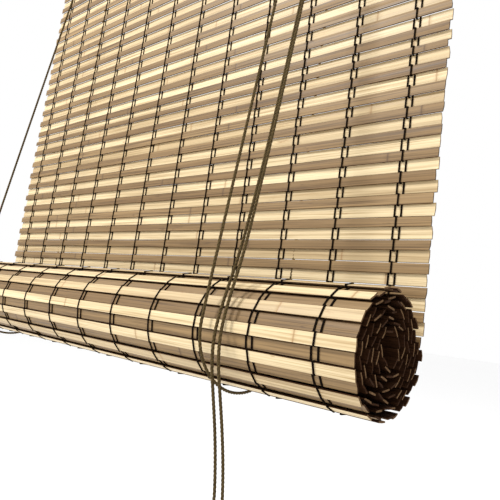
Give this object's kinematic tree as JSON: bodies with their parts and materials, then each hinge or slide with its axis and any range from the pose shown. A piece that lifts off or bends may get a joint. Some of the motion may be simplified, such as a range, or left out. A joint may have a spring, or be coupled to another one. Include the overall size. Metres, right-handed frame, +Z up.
{
  "type": "bamboo roll-up blind",
  "caption": "Woven bamboo slat roll-up blind, partly rolled up in its cord loops, with headrail, cord lock and hanger plates.",
  "frame": {"origin": "midway between the two wall screws, on the wall", "axes": "+X along the blind to the pull cords' end, +Y into the wall, +Z up; the room is on the -Y side"},
  "size_m": [0.726, 0.1235, 1.066],
  "materials": {
    "light_bamboo": "satin",
    "brown_bamboo": "satin",
    "binding_thread": "matte",
    "rail_wood": "satin",
    "painted_steel": "satin",
    "plated_steel": "satin",
    "wheel_plastic": "satin",
    "cord": "matte"
  },
  "bodies": {
    "blind": {"binding_threads_01": "binding_thread", "binding_threads_02": "binding_thread", "binding_threads_03": "binding_thread", "binding_threads_04": "binding_thread", "binding_threads_05": "binding_thread", "binding_threads_06": "binding_thread", "binding_threads_07": "binding_thread", "binding_threads_08": "binding_thread", "binding_threads_09": "binding_thread", "binding_threads_10": "binding_thread", "binding_threads_11": "binding_thread", "binding_threads_12": "binding_thread", "clamp_screws": "plated_steel", "clamp_strip": "rail_wood", "cord_hank": "cord", "cord_knot": "cord", "hanger_plate_left": "painted_steel", "hanger_plate_right": "painted_steel", "hanger_screws": "plated_steel", "hanging_brown_slats": "brown_bamboo", "hanging_light_slats": "light_bamboo", "hank_tie": "cord", "headrail": "rail_wood", "lift_cord_knots": "cord", "lift_cord_left": "cord", "lift_cord_right": "cord", "lock_cam_pin": "plated_steel", "lock_housing": "painted_steel", "lock_jaw_pin": "plated_steel", "lock_screws": "plated_steel", "lock_wheel_pin": "plated_steel", "pull_cord_a": "cord", "pull_cord_b": "cord", "pulley_housing": "painted_steel", "pulley_pin": "plated_steel", "pulley_screws": "plated_steel", "rolled_brown_slats": "brown_bamboo", "rolled_light_slats": "light_bamboo"},
    "pulley": {"pulley_wheel": "wheel_plastic"},
    "lock_roller": {"lock_wheel": "wheel_plastic"},
    "cam": {"lock_cam": "wheel_plastic"}
  },
  "joints": [
    {"name": "lock_wheel_spin", "type": "hinge", "parent": "blind", "child": "lock_roller", "pos_m": [0.2355, -0.0335, -0.0665], "axis": [0, 1, 0], "continuous": true},
    {"name": "pulley_wheel_spin", "type": "hinge", "parent": "blind", "child": "pulley", "pos_m": [-0.2145, -0.031, -0.0665], "axis": [0, 1, 0], "continuous": true},
    {"name": "lock_cam_lift", "type": "hinge", "parent": "blind", "child": "cam", "pos_m": [0.2578, -0.0335, -0.0855], "axis": [0, 1, 0], "range_deg": [0, 50]}
  ],
  "couplings": [
    {"joint": "pulley_wheel_spin", "follows": "lock_wheel_spin", "ratio": 1}
  ]
}
